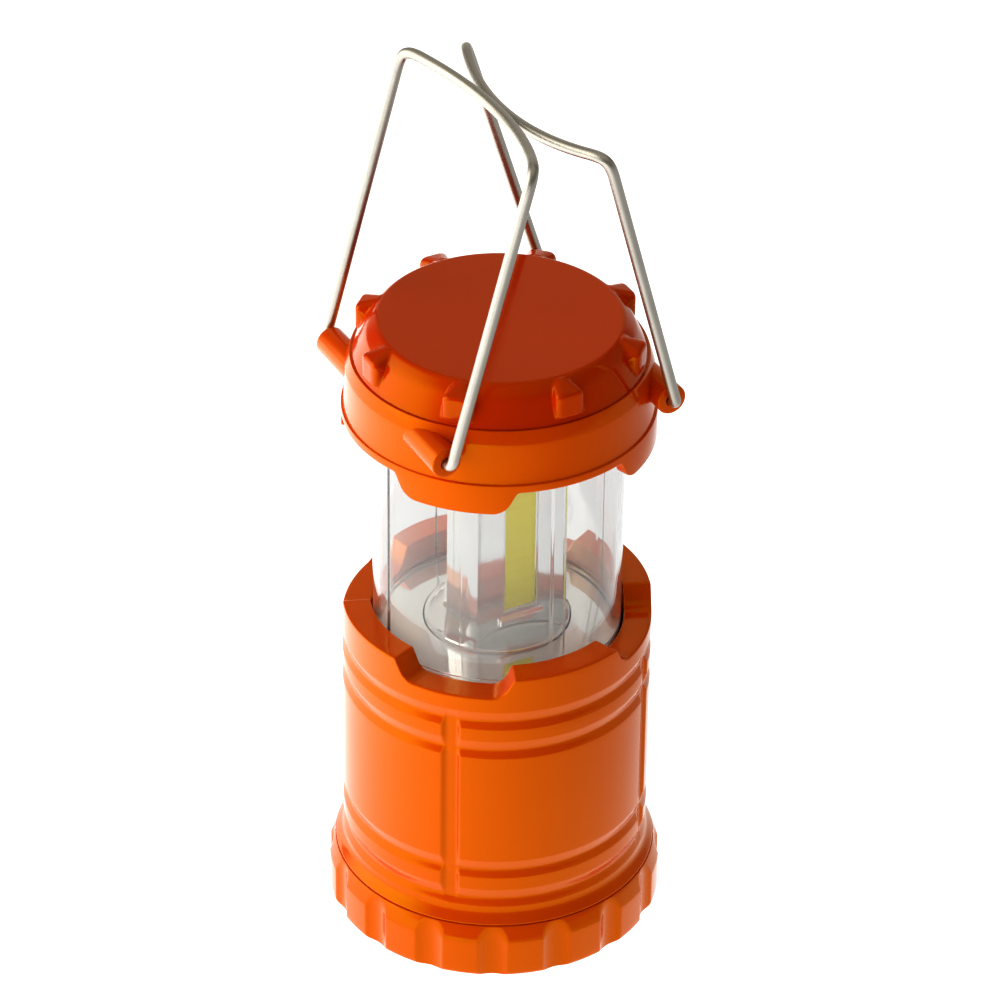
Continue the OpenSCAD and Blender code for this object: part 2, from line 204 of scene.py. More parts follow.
def around(angles, r, z):
    """Grid of points from angles and from r and z, each a profile or a grid."""
    turn = np.radians(angles)[:, None]
    r, z = np.broadcast_arrays(r, z)
    r = np.broadcast_to(r, (len(angles), r.shape[-1]))
    z = np.broadcast_to(z, r.shape)
    return np.stack([r * np.cos(turn), r * np.sin(turn), z], -1)


def swept(name, path, radius, sides=20, sharp=35):
    """A round bar along a path, closed by flat ends."""
    path = np.asarray(path, float)
    along = np.gradient(path, axis=0)
    along /= np.linalg.norm(along, axis=1)[:, None]
    across = np.cross(along[0], (0.3, 0.5, 0.8))
    rings = []
    for p, t in zip(path, along):
        across = across - (across @ t) * t
        across /= np.linalg.norm(across)
        other = np.cross(t, across)
        a = np.arange(sides) * 2 * PI / sides
        rings.append(p + radius * (np.cos(a)[:, None] * across + np.sin(a)[:, None] * other))
    points = np.transpose(np.array(rings), (1, 0, 2))
    faces = grid_faces(sides, len(path), True, False)
    last = len(path) - 1
    faces.append([j * len(path) for j in range(sides - 1, -1, -1)])
    faces.append([j * len(path) + last for j in range(sides)])
    return finish_mesh(name, points.reshape(-1, 3), faces, sharp)


def joined(name, parts):
    """Several mesh objects as one piece."""
    work = bmesh.new()
    for part in parts:
        mesh = part.data
        bpy.data.objects.remove(part)
        work.from_mesh(mesh)
        bpy.data.meshes.remove(mesh)
    mesh = bpy.data.meshes.new(name)
    work.to_mesh(mesh)
    work.free()
    piece = bpy.data.objects.new(name, mesh)
    bpy.context.scene.collection.objects.link(piece)
    return piece


# ---- Materials ----

def new_material(name):
    """A material with one Principled node, and that node."""
    material = bpy.data.materials.new(name)
    material.use_nodes = True
    return material, material.node_tree, material.node_tree.nodes["Principled BSDF"]


def add_noise(tree, scale, detail=3.0, stretch=(1, 1, 1)):
    """Noise in the row's own frame. Scale is in grains per metre."""
    place = tree.nodes.new("ShaderNodeTexCoord")
    sizing = tree.nodes.new("ShaderNodeMapping")
    sizing.inputs["Scale"].default_value = stretch
    noise = tree.nodes.new("ShaderNodeTexNoise")
    noise.inputs["Scale"].default_value = scale
    noise.inputs["Detail"].default_value = detail
    tree.links.new(place.outputs["Object"], sizing.inputs["Vector"])
    tree.links.new(sizing.outputs["Vector"], noise.inputs["Vector"])
    return noise.outputs["Fac"]


def ranged(tree, value, low, high, start=0.3, end=0.7):
    """A noise value brought to a range."""
    node = tree.nodes.new("ShaderNodeMapRange")
    node.inputs["From Min"].default_value = start
    node.inputs["From Max"].default_value = end
    node.inputs["To Min"].default_value = low
    node.inputs["To Max"].default_value = high
    tree.links.new(value, node.inputs["Value"])
    return node.outputs["Result"]


def mixed(tree, value, first, second):
    """A colour between two, by a value."""
    node = tree.nodes.new("ShaderNodeMix")
    node.data_type = "RGBA"
    node.inputs["A"].default_value = (*first, 1)
    node.inputs["B"].default_value = (*second, 1)
    tree.links.new(value, node.inputs["Factor"])
    return node.outputs["Result"]


def add_bump(tree, shader, height, strength, distance=0.0002):
    """Fine relief on a shader, from a height."""
    bump = tree.nodes.new("ShaderNodeBump")
    bump.inputs["Strength"].default_value = strength
    bump.inputs["Distance"].default_value = distance
    tree.links.new(height, bump.inputs["Height"])
    tree.links.new(bump.outputs["Normal"], shader.inputs["Normal"])


def moulded_plastic(name, colour, shade, rough, peel=0.05, tint=(1, 1, 1), gleam=0.5):
    """Moulded plastic: slight colour drift, uneven gloss and a faint orange-peel surface."""
    material, tree, shader = new_material(name)
    drift = ranged(tree, add_noise(tree, 45), 0, 1)
    tree.links.new(mixed(tree, drift, colour, shade), shader.inputs["Base Color"])
    gloss = ranged(tree, add_noise(tree, 260), rough[0], rough[1])
    tree.links.new(gloss, shader.inputs["Roughness"])
    shader.inputs["Specular Tint"].default_value = (*tint, 1)
    shader.inputs["Specular IOR Level"].default_value = gleam
    add_bump(tree, shader, add_noise(tree, 900, 2.0), peel)
    return material


def plated(name, colour, shade, rough, grain=0.04, stretch=(1, 1, 1), metallic=1.0):
    """Plated metal: nearly even colour, with fine grain in its gloss."""
    material, tree, shader = new_material(name)
    shader.inputs["Metallic"].default_value = metallic
    drift = ranged(tree, add_noise(tree, 120, stretch=stretch), 0, 1)
    tree.links.new(mixed(tree, drift, colour, shade), shader.inputs["Base Color"])
    tree.links.new(ranged(tree, add_noise(tree, 3000, 4.0, stretch), rough[0], rough[1]),
                   shader.inputs["Roughness"])
    add_bump(tree, shader, add_noise(tree, 2500, 3.0, stretch), grain)
    return material


CLARITY = 0.96


def clear_plastic():
    """Clear moulded lens: glass that lets lamps through, with faint flow marks."""
    material, tree, shader = new_material("clear_polystyrene")
    shader.inputs["Transmission Weight"].default_value = CLARITY
    shader.inputs["IOR"].default_value = 1.45
    shader.inputs["Base Color"].default_value = (0.985, 0.99, 0.99, 1)
    gloss = ranged(tree, add_noise(tree, 400), 0.0, 0.03)
    tree.links.new(gloss, shader.inputs["Roughness"])
    add_bump(tree, shader, add_noise(tree, 60, 2.0, (1, 1, 0.25)), 0.04)
    through = tree.nodes.new("ShaderNodeBsdfTransparent")
    through.inputs["Color"].default_value = (0.96, 0.97, 0.97, 1)
    path = tree.nodes.new("ShaderNodeLightPath")
    mix = tree.nodes.new("ShaderNodeMixShader")
    tree.links.new(path.outputs["Is Shadow Ray"], mix.inputs["Fac"])
    tree.links.new(shader.outputs["BSDF"], mix.inputs[1])
    tree.links.new(through.outputs["BSDF"], mix.inputs[2])
    tree.links.new(mix.outputs["Shader"], tree.nodes["Material Output"].inputs["Surface"])
    return material


def phosphor():
    """Yellow phosphor over rows of dies, which show as faint dots."""
    material, tree, shader = new_material("yellow_phosphor")
    place = tree.nodes.new("ShaderNodeTexCoord")
    parts = tree.nodes.new("ShaderNodeSeparateXYZ")
    tree.links.new(place.outputs["Object"], parts.inputs["Vector"])
    wave = tree.nodes.new("ShaderNodeMath")
    wave.operation = "SINE"
    turns = tree.nodes.new("ShaderNodeMath")
    turns.operation = "MULTIPLY"
    turns.inputs[1].default_value = 2 * PI / (2.4 * MM)
    tree.links.new(parts.outputs["Z"], turns.inputs[0])
    tree.links.new(turns.outputs["Value"], wave.inputs[0])
    dots = ranged(tree, wave.outputs["Value"], 0, 0.35, 0.75, 1.0)
    tree.links.new(mixed(tree, dots, (0.80, 0.72, 0.012), (0.68, 0.59, 0.012)), shader.inputs["Base Color"])
    tree.links.new(ranged(tree, add_noise(tree, 900), 0.35, 0.5), shader.inputs["Roughness"])
    add_bump(tree, shader, add_noise(tree, 1800), 0.1)
    return material


ORANGE = (0.71, 0.084, 0.0)
ORANGE_SHADE = (0.685, 0.077, 0.0)
ORANGE_TINT = (1.0, 1.0, 0.03)
# Painted shade: the top cap gets a darker, redder copy of the same orange plastic, standing in for the shade
# on its up-facing top.
CAP_PAINTED_SHADE_RED = (0.61, 0.042, 0.0)
CAP_PAINTED_SHADE_RED_DRIFT = (0.585, 0.038, 0.0)

MATERIALS = {
    "housing_plastic": moulded_plastic(
        "orange_abs", ORANGE, ORANGE_SHADE, (0.07, 0.13), 0.03, ORANGE_TINT, 0.65),
    "head_plastic": moulded_plastic(
        "orange_abs_head", ORANGE, ORANGE_SHADE, (0.08, 0.15), 0.03, ORANGE_TINT, 0.55),
    # Top cap material: the orange plastic darkened and reddened as painted shade.
    "cap_painted_shade": moulded_plastic(
        "orange_abs_cap_painted_shade", CAP_PAINTED_SHADE_RED, CAP_PAINTED_SHADE_RED_DRIFT, (0.08, 0.15), 0.03, ORANGE_TINT, 0.5),
    "dark_plastic": moulded_plastic(
        "black_abs", (0.020, 0.020, 0.022), (0.028, 0.028, 0.03), (0.35, 0.5), 0.2),
    "seal_rubber": moulded_plastic(
        "black_rubber", (0.012, 0.012, 0.012), (0.02, 0.02, 0.02), (0.55, 0.7), 0.3),
    "pad_foam": moulded_plastic(
        "grey_foam", (0.05, 0.05, 0.055), (0.03, 0.03, 0.033), (0.8, 0.95), 1.0),
    "circuit_board": moulded_plastic(
        "green_board", (0.01, 0.12, 0.05), (0.012, 0.16, 0.06), (0.3, 0.45), 0.15),
    "cell_jacket": plated("cell_jacket", (0.42, 0.44, 0.46), (0.36, 0.38, 0.40), (0.25, 0.4), 0.05),
    "contact_metal": plated("nickel_strip", (0.66, 0.63, 0.56), (0.58, 0.56, 0.50), (0.2, 0.35), 0.05),
    "screw_steel": plated("zinc_steel", (0.56, 0.56, 0.58), (0.48, 0.48, 0.5), (0.25, 0.4), 0.05),
    "wire_steel": plated("nickel_wire", (0.50, 0.48, 0.43), (0.45, 0.43, 0.385), (0.32, 0.42), 0.03),
    "mirror_plating": plated(
        "plated_reflector", (0.84, 0.84, 0.835), (0.80, 0.80, 0.795), (0.03, 0.09), 0.04, metallic=0.8),
    "clear_lens": clear_plastic(),
    "light_strip": phosphor(),
}


def dress(piece, body, slot, *nodes, look=None):
    """Puts a piece on its body in a slot's material, or in the material that look names instead (the top
    cap's painted-shade copy), in place of CAD nodes.
    """
    piece.data.materials.clear()
    piece.data.materials.append(MATERIALS[look or slot])
    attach(piece, body)
    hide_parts(*nodes)
    return piece


# ---- Base cap ----

SCALLOPS = 16
SCALLOP_TURN = -6
SCALLOP_DEPTH = 1.1
SCALLOP_R = 4.6


def make_base_cap():
    """Screw-on base with hollow grips cut through its edge and chamfer."""
    outline = refined(rounded([
        (0, 2, 0), (BODY_R + 0.3, 2, 0.5), (BODY_R + 0.3, BASE_TOP, 0.15), (BODY_R + 1.6, BASE_TOP, 0.25),
        (BASE_R, BASE_TOP - 3.2, 0.5), (BASE_R, 0, 1.0), (0, 0, 0)], arc=15), 1.2)[::-1]
    period = 360 / SCALLOPS
    centres = SCALLOP_TURN + period * np.arange(SCALLOPS)
    angles = spread_angles(centres, [(3.5, 0.7), (6.8, 0.3), (period / 2, 1.2)], period)
    r, z = outline[:, 0], outline[:, 1]
    centre_r = BASE_R - SCALLOP_DEPTH + SCALLOP_R
    beta = np.radians(turn_from(angles, centres))
    chord = SCALLOP_R ** 2 - (centre_r * np.sin(beta)) ** 2
    cut = np.where(chord > 0, centre_r * np.cos(beta) - np.sqrt(np.maximum(chord, 0)), centre_r)
    outside = r > BODY_R + 0.9
    grid_r = np.where(outside, smin(r[None, :], cut[:, None], 0.3), r[None, :])
    points = around(angles, grid_r, z)
    return dress(grid_piece("base_shell", points), "base", "housing_plastic", "base_cap")


# ---- Rim notches and head tabs: one outline for both ----

NOTCH_DEPTH = 4.2
TAB_NARROWING = 0.06


def notch_line(depth, top_radius=0.7):
    """Height against distance along the wall, over half a notch: floor, fillet, slope, rim."""
    return rounded([(-1, 0, 0), (9.9, 0, 3.9), (12.3, depth, top_radius), (40, depth, 0)], arc=6)


def notch_height(angle, r, narrowing, line):
    """How far the rim stands above a notch's floor at an angle and radius."""
    turn = np.abs(turn_from(angle, CORNERS))
    along = np.radians(turn) * BODY_R
    along = along[..., None] * (1 + narrowing * np.clip((BODY_R - r) / 5, 0, 1))
    return np.interp(along, line[:, 0], line[:, 1])


CORNER_BANDS = [(2.2, 0.55), (4.6, 0.2), (13.0, 1.0), (25.5, 0.33), (45, 2.4)]


# ---- Housing ----

GROOVE_H = 4.1
GROOVE_DEPTH = 0.7
CHANNEL_HALF = 1.15
CHANNEL_FLANK = 1.0


def groove_corners(z):
    """One ring groove, from its lower edge to its upper edge."""
    return [(BODY_R, z - GROOVE_H / 2, 0.35), (BODY_R - GROOVE_DEPTH, z - 0.3, 0.8),
            (BODY_R, z + GROOVE_H / 2, 0.25)]


def make_housing():
    """Battery housing: flared foot, four ring grooves, four upright channels, notched rim."""
    upper, lower = (RIM_Z - 9.5, RIM_Z - 16.3), (BASE_TOP + 12.6, BASE_TOP + 5.7)
    foot = BASE_TOP + 0.2
    seal_r, seal_z = -seal_low[0] - 1.15, (seal_low[2] + seal_high[2]) / 2
    rim_in = LENS_R + 0.2
    stop_z = lens_low[2] + 0.3
    bore = BODY_R - 1.6
    thread_r = BODY_R - 0.1
    corners = [
        (thread_r, housing_low[2], 0.2), (thread_r, seal_z - 0.6, 0), (seal_r, seal_z - 0.6, 0),
        (seal_r, seal_z + 0.6, 0), (thread_r, seal_z + 0.6, 0), (thread_r, foot, 0),
        (BODY_R + 1.5, foot, 0.12), (BODY_R + 1.4, foot + 0.3, 0.12), (BODY_R, foot + 2.1, 2.2)]
    for z in (lower[1], lower[0], upper[1], upper[0]):
        corners += groove_corners(z)
    corners += [(BODY_R, RIM_Z, 0.35), (rim_in, RIM_Z, 0.3), (rim_in, stop_z, 0.2), (bore, stop_z, 0.4),
                (bore, housing_low[2], 0.2)]
    outline = refined(rounded(corners, closed=True, arc=13), 1.3, closed=True)
    angles = spread_angles(CORNERS, CORNER_BANDS, 90)
    r, z = outline[:, 0], outline[:, 1]

    across = np.abs(np.radians(turn_from(angles, CORNERS))) * BODY_R
    flank = smax(CHANNEL_FLANK * (across - CHANNEL_HALF), 0 * across, 0.3)
    past = np.maximum(np.maximum(z - upper[0] - 0.6, lower[1] - 0.6 - z), 0)
    channel = BODY_R - GROOVE_DEPTH + flank[:, None] + past[None, :]
    outer = (r > BODY_R - 1) & (z > foot + 1.5)
    grid_r = np.where(outer, smin(r[None, :], channel, 0.25), r[None, :])

    line = notch_line(NOTCH_DEPTH)
    drop = NOTCH_DEPTH - notch_height(angles, r, 0.0, line)
    stretch_low, stretch_high = upper[0] + GROOVE_H / 2 + 0.6, RIM_Z - 0.5
    share = np.clip((z - stretch_low) / (stretch_high - stretch_low), 0, 1)
    grid_z = z[None, :] - drop * share[None, :]
    points = around(angles, grid_r, grid_z)
    shell = grid_piece("housing_shell", points, wrap_cols=True)
    return dress(shell, "battery_housing", "housing_plastic", "housing")


# ---- Lamp head ----

TAB_DROP = SKIRT_Z - ring_low[2]
SKIRT_TOP = SKIRT_Z + 1.7


def lug(sx, sy, end, hole_r=1.2, hole_depth=7):
    """A bail lug: a barrel along X, rooted in the ring, with a blind hole for the wire."""
    angles = np.arange(0, 360, 7.5)
    turn = np.radians(angles)
    y, z = LUG_Y + 3 * np.cos(turn), 3 * np.sin(turn)
    root = np.sqrt(np.maximum(27.4 ** 2 - y ** 2, 1))
    outline = rounded([(3, 0, 0), (3, 1, 0.35), (hole_r, 1, 0.15), (hole_r, 0, 0), (0, 0, 0)], arc=20)
    columns = []
    for k, (r, level) in enumerate(outline):
        x = end - 1 + level if k else root
        if r <= hole_r + 1e-6 and level < 1e-6:
            x = end - hole_depth
        x_row = np.broadcast_to(x, turn.shape)
        columns.append(np.stack([x_row, LUG_Y + r * np.cos(turn), r * np.sin(turn)], -1))
    points = np.stack(columns, 1)
    points[..., 2] += LUG_Z
    points[..., 0] *= sx
    points[..., 1] *= sy
    if sx * sy < 0:
        points = points[::-1]
    return grid_piece("lug", points)


def make_head_ring():
    """Ring and skirt of the head, with four tabs that fill the rim notches and four bail lugs."""
    bore, skirt_in, floor_bore = BODY_R - 3, BODY_R - 2.6, 12
    floor_z = SKIRT_TOP + 0.1
    floor_top = floor_z + 1.5
    corners = [
        (skirt_in, SKIRT_Z, 0.3), (BODY_R, SKIRT_Z, 0.35), (BODY_R, SKIRT_TOP, 0.2),
        (BODY_R - 0.42, SKIRT_TOP + 0.08, 0.12), (BODY_R - 0.62, SKIRT_TOP + 3, 0),
        (BODY_R - 0.75, SEAM_Z - 2.7, 1.2), (BODY_R - 1.65, SEAM_Z - 0.12, 0.12),
        (bore, SEAM_Z - 0.17, 0.2), (bore, floor_top, 0.5), (floor_bore, floor_top, 0.2),
        (floor_bore, floor_z, 0.2), (skirt_in, floor_z, 0.3)]
    outline = refined(rounded(corners, closed=True, arc=13), 1.3, closed=True)
    angles = spread_angles(CORNERS, CORNER_BANDS, 90)
    r, z = outline[:, 0], outline[:, 1]
    line = notch_line(TAB_DROP, 1.0)
    drop = TAB_DROP - notch_height(angles, r, TAB_NARROWING, line)
    share = np.clip((SKIRT_Z + 1.2 - z) / 0.6, 0, 1)
    share = np.where(r > BODY_R - 2.7, share, 0)
    points = around(angles, r, z[None, :] - drop * share[None, :])
    ring = grid_piece("ring", points, wrap_cols=True)
    lugs = [lug(sx, sy, LUG_END) for sx in (-1, 1) for sy in (-1, 1)]
    return dress(joined("head_ring_shell", [ring] + lugs), "lamp_head", "head_plastic", "head_ring")


FLAT_R = 23.4
KNOB_R = BODY_R - 2
KNOB_HALF = 3.5
KNOB_TAPER = 0.30
KNOB_RISE = 0.30
DOME = [(BODY_R - 1.9, 0), (BODY_R - 2.7, 2.2), (BODY_R - 4.2, 4.9), (FLAT_R, 7.2)]


def cap_field(x, y, z):
    """Field of the head's top: below zero inside the dome or one of its eight knobs."""
    r = np.hypot(x, y)
    dome = z - TOP_Z
    for k, ((r0, z0), (r1, z1)) in enumerate(zip(DOME, DOME[1:])):
        length = math.hypot(r1 - r0, z1 - z0)
        plane = ((z1 - z0) * (r - r0) - (r1 - r0) * (z - SEAM_Z - z0)) / length
        dome = smax(dome, plane, 0.35 if k == 2 else 1.6)
    turn = np.radians((np.degrees(np.arctan2(y, x)) + 22.5) % 45 - 22.5)
    out, side = r * np.cos(turn), np.abs(r * np.sin(turn))
    face = out - KNOB_R
    flank = (side - KNOB_HALF + KNOB_TAPER * (KNOB_R - out)) * 0.957
    slope = (z - TOP_Z + 1.35 - KNOB_RISE * (KNOB_R - out)) * 0.958
    foot = SEAM_Z + 1.0 - z
    back = FLAT_R + 0.2 - out
    knob = smax(smax(smax(face, slope, 0.8), flank, 2.2), np.maximum(foot, back), 0.4)
    return smin(dome, knob, 0.35)


def cast(start, heading, reach, field, rounds=34):
    """Where rays from inside a field come out of it."""
    near = np.zeros(heading.shape[:-1])
    far = near + reach
    for _ in range(rounds):
        middle = (near + far) / 2
        p = start + heading * middle[..., None]
        inside = field(p[..., 0], p[..., 1], p[..., 2]) < 0
        near = np.where(inside, middle, near)
        far = np.where(inside, far, middle)
    return start + heading * near[..., None]


def make_top_cap():
    """Domed top with a flat disc and eight knobs round its slope."""
    hub_r, hub_z = 15.0, SEAM_Z - 3.0
    period = 45
    angles = spread_angles(np.arange(0, 360, period), [(4.0, 0.8), (8.4, 0.2), (period / 2, 1.5)], period)
    low = math.degrees(math.atan2(SEAM_Z - hub_z, DOME[0][0] - hub_r))
    edge = math.degrees(math.atan2(TOP_Z - hub_z, FLAT_R - hub_r))
    lifts = np.concatenate([
        np.arange(low, edge - 3, 0.4), np.arange(edge - 3, edge + 2, 0.2), np.arange(edge + 2, 90, 4), [90]])
    turn, lift = np.radians(angles)[:, None], np.radians(lifts)[None, :]
    start = np.stack([hub_r * np.cos(turn), hub_r * np.sin(turn), hub_z + 0 * turn], -1)
    ray = np.stack([np.cos(lift) * np.cos(turn), np.cos(lift) * np.sin(turn), np.sin(lift) + 0 * turn], -1)
    outer = cast(start, ray, 40, cap_field)
    spigot_in, spigot_out, spigot_z = BODY_R - 4.3, BODY_R - 3.1, SEAM_Z - 2.6
    under = TOP_Z - 1.8
    inner_line = rounded([
        (0, under, 0), (FLAT_R - 1.2, under, 1), (25, SEAM_Z + 3, 1), (spigot_in, SEAM_Z + 0.6, 0),
        (spigot_in, spigot_z, 0.2), (spigot_out, spigot_z, 0.2), (spigot_out, SEAM_Z, 0),
        (BODY_R - 2.0, SEAM_Z, 0)], arc=20)
    inner = around(angles, inner_line[:, 0], inner_line[:, 1])
    centre = around(angles, np.array([8.0, 0.0]), np.array([TOP_Z, TOP_Z]))
    points = np.concatenate([inner, outer, centre], 1)
    shell = grid_piece("top_cap_shell", points)
    # The top cap is dressed in the darker, redder painted-shade copy of the orange plastic.
    return dress(shell, "lamp_head", "head_plastic", "top_cap", look="cap_painted_shade")


# ---- Lens and reflector ----

TUBE_R = LENS_R - 0.3
TUBE_WALL = 1.3
SEAT_R = TUBE_R - 0.6
RIB_HALF = 1.4
RIB_SLANT = 0.6


def make_lens():
    """Clear tube with a closed top, a seat for the dish and four upright ribs on its outside."""
    low, high, seat = lens_low[2], lens_high[2], MIRROR_Z + 0.1
    bore, under = TUBE_R - TUBE_WALL, high - TUBE_WALL
    outside = refined(rounded([(SEAT_R, low, 0), (TUBE_R, low, 0.15), (TUBE_R, high, 0.5), (0, high, 0)],
                              arc=20), 4)
    inside = refined(rounded([(0, under, 0), (bore, under, 0.5), (bore, seat, 0.1), (SEAT_R, seat, 0.05),
                              (SEAT_R, low, 0)], arc=20), 4)
    outline = np.vstack([inside, outside[1:]])
    angles = spread_angles(QUARTERS, [(1.8, 0.6), (5.2, 0.17), (45, 1.5)], 90)
    r, z = outline[:, 0], outline[:, 1]
    across = np.abs(np.radians(turn_from(angles, QUARTERS))) * LENS_R
    rib = (LENS_R - TUBE_R) * ease((RIB_HALF + RIB_SLANT / 2 - across) / RIB_SLANT)
    on_wall = (np.abs(r - TUBE_R) < 0.02) & (z > low + 1) & (z < high - 1)
    grid_r = r[None, :] + rib[:, None] * on_wall[None, :]
    points = around(angles, grid_r, z)
    return dress(grid_piece("lens_shell", points, sharp=25), "lamp_head", "clear_lens", "lens")


DISH_FALL = 0.8


def make_reflector_disc():
    """Plated dish round the foot of the column, falling a little towards its edge in the lens's seat."""
    outer, inner = SEAT_R - 0.1, column_high[0] + 0.25
    outline = rounded([
        (inner, disc_low[2], 0.1), (outer, disc_low[2], 0.1), (outer, MIRROR_Z - DISH_FALL - 0.15, 0.1),
        (outer - 0.5, MIRROR_Z - DISH_FALL, 0.4), (inner, MIRROR_Z, 0.2)], closed=True)
    angles = np.arange(0, 360, 1.5)
    points = around(angles, outline[:, 0], outline[:, 1])
    dish = grid_piece("reflector_dish", points, wrap_cols=True)
    return dress(dish, "lamp_head", "mirror_plating", "reflector_disc")


FLAT = 9.3
CORNER_R = 13.1
FOOT_R = 14.1
strip_low, strip_high = box_mm("cob_strip_1")
STRIP_HALF = (strip_high[1] - strip_low[1]) / 2


def plate_mask(y, z, half, low, high, ramp):
    """1 on an upright rectangle, falling to 0 over a ramp at its edges."""
    inside = np.minimum(half - np.abs(y), np.minimum(z - low, high - z))
    return np.clip(inside / ramp + 0.5, 0, 1)


def make_column():
    """Three-sided plated column: strip recesses, sills, rounded corners flared into a round foot."""
    lip_z, floor_z, top = MIRROR_Z + 0.4, MIRROR_Z, column_high[2]
    low, high = strip_low[2], strip_high[2]
    sill = (low - 2.9, low - 1.3)
    rises = np.unique(np.concatenate([
        np.linspace(floor_z, floor_z + 3.4, 14), sill[0] + np.linspace(-0.35, 0.35, 7),
        sill[1] + np.linspace(-0.35, 0.35, 7), low - 0.1 + np.linspace(-0.12, 0.12, 4),
        np.arange(low + 3, high, 4), high + 0.1 + np.linspace(-0.12, 0.12, 4), [top - 0.3, top - 0.1, top]]))
    half = math.sqrt(CORNER_R ** 2 - FLAT ** 2)
    ys = np.unique(np.concatenate([
        np.linspace(0, 3.2, 5), STRIP_HALF + 0.1 + np.linspace(-0.12, 0.12, 4), [4.0],
        STRIP_HALF + 1.2 + np.linspace(-0.35, 0.35, 7), np.linspace(5.6, half, 7)]))
    ys = np.concatenate([-ys[:0:-1], ys])
    arc_half = 60 - math.degrees(math.atan2(half, FLAT))
    arcs = 60 + np.unique(np.concatenate([
        np.linspace(-arc_half, arc_half, 17)[1:-1], [-0.8, -0.35, 0.35, 0.8]]))
    rows = []
    z = rises
    flare = 0.95 * np.clip(1 - (z - floor_z) / 3.2, 0, 1) ** 2.2
    for face in FACES:
        spin = math.radians(face)
        for y in ys:
            h = -0.3 * plate_mask(y, z, STRIP_HALF + 0.1, low - 0.1, high + 0.1, 0.12)
            h = h + 0.9 * ease(plate_mask(y, z, STRIP_HALF + 1.2, sill[0], sill[1], 0.45))
            h = h - 0.25 * np.clip((z - top + 0.3) / 0.3, 0, 1) ** 2
            rows.append((spin, np.full_like(z, y), FLAT + h, True))
        for a in arcs:
            seam = 0.05 * (abs(a - 60) < 0.5)
            r = CORNER_R + flare + seam - 0.25 * np.clip((z - top + 0.3) / 0.3, 0, 1) ** 2
            rows.append((spin, r * math.sin(math.radians(a)), r * math.cos(math.radians(a)), False))
    columns = []
    for spin, y, x, flat in rows:
        c, s = math.cos(spin), math.sin(spin)
        wall = np.stack([x * c - y * s, x * s + y * c, z], -1)
        angle = math.atan2(wall[0, 1], wall[0, 0])
        reach = math.hypot(wall[0, 0], wall[0, 1])
        outward = np.array([math.cos(angle), math.sin(angle)])
        pocket = np.clip((CORNER_R - reach) / 0.25, 0, 1) if flat else 0.0
        step = lip_z - (lip_z - floor_z) * pocket
        edge = max(reach, CORNER_R) if flat else reach
        foot = [(FOOT_R, column_low[2]), (FOOT_R, lip_z - 0.25), (FOOT_R - 0.08, lip_z - 0.07),
                (max(FOOT_R - 0.3, edge), lip_z), (edge + 0.1 * pocket, lip_z), (edge, step + 0.02)]
        inward = [edge + (reach - edge) * t for t in (0.02, 0.5, 0.98)]
        foot += [(r, step) for r in inward]
        wall[:, 2] = np.maximum(wall[:, 2], step)
        ring = [np.array([*(outward * r), level]) for r, level in foot]
        cap = [np.array([wall[-1, 0] * t, wall[-1, 1] * t, top]) for t in (0.9, 0.0)]
        under = [np.array([0.0, 0.0, column_low[2]])]
        columns.append(np.vstack([under, ring, wall, cap]))
    points = np.array(columns)
    tower = grid_piece("reflector_tower", points, sharp=28)
    return dress(tower, "lamp_head", "mirror_plating", "reflector_column")


def make_strip(index, face):
    """One light strip: a phosphor bar with softened edges; its dies show only as faint dots in its material.
    """
    low, high = strip_low[2], strip_high[2]
    depth = strip_high[0] - strip_low[0]
    face_x = strip_high[0]
    bevel = np.array([0, 0.1, 0.25, 0.45])
    zs = np.concatenate([low + bevel, np.linspace(low + 0.7, high - 0.7, 40), high - bevel[::-1]])
    ys = np.concatenate([bevel - STRIP_HALF, np.linspace(-2.6, 2.6, 9), STRIP_HALF - bevel[::-1]])
    y, z = np.meshgrid(ys, zs, indexing="ij")
    edge = np.minimum(STRIP_HALF - np.abs(y), np.minimum(z - low, high - z))
    x = face_x - 0.25 * (1 - ease(edge / 0.45))
    front = np.stack([x, y, z], -1)
    back = np.stack([0 * x + face_x - depth, y, z], -1)
    rows, cols = y.shape
    faces = grid_faces(rows, cols, False, False)
    faces += [f[::-1] for f in grid_faces(rows, cols, False, False, rows * cols)]
    loop = [(i, 0) for i in range(rows)] + [(rows - 1, j) for j in range(1, cols)]
    loop += [(i, cols - 1) for i in range(rows - 2, -1, -1)] + [(0, j) for j in range(cols - 2, 0, -1)]
    for (i0, j0), (i1, j1) in zip(loop, loop[1:] + loop[:1]):
        a, b = i0 * cols + j0, i1 * cols + j1
        faces.append([b, a, a + rows * cols, b + rows * cols])
    verts = np.concatenate([front.reshape(-1, 3), back.reshape(-1, 3)])
    spin = math.radians(face)
    turned = verts.copy()
    turned[:, 0] = verts[:, 0] * math.cos(spin) - verts[:, 1] * math.sin(spin)
    turned[:, 1] = verts[:, 0] * math.sin(spin) + verts[:, 1] * math.cos(spin)
    piece = finish_mesh(f"light_strip_{index}", turned, faces)
    return dress(piece, "lamp_head", "light_strip", f"cob_strip_{index}")


# ---- Bails ----

BAIL_HALF = 25.7
BAIL_LEG = 60.6
BACK_SHORT = 1.4
BACK_LEAN = 1.0
BACK_SKEW = 1.2
BAIL_LEAN = 15.6
BAIL_TURN = 27
WIRE_R = 1.1
PIN_END = 18.0


def bent(path, step, soft):
    """A path walked in even steps, its corners softened over a length that soft gives for each point."""
    path = np.asarray(path, float)
    gone = np.concatenate([[0], np.cumsum(np.linalg.norm(np.diff(path, axis=0), axis=1))])
    count = math.ceil(gone[-1] / step)
    at = np.linspace(0, gone[-1], count + 1)
    even = np.stack([np.interp(at, gone, path[:, k]) for k in range(3)], -1)
    for _ in range(2):
        smooth = even.copy()
        for i in range(1, count):
            reach = min(int(soft(even[i]) / 2 / step), i, count - i)
            smooth[i] = even[i - reach:i + reach + 1].mean(0)
        even = smooth
    return even


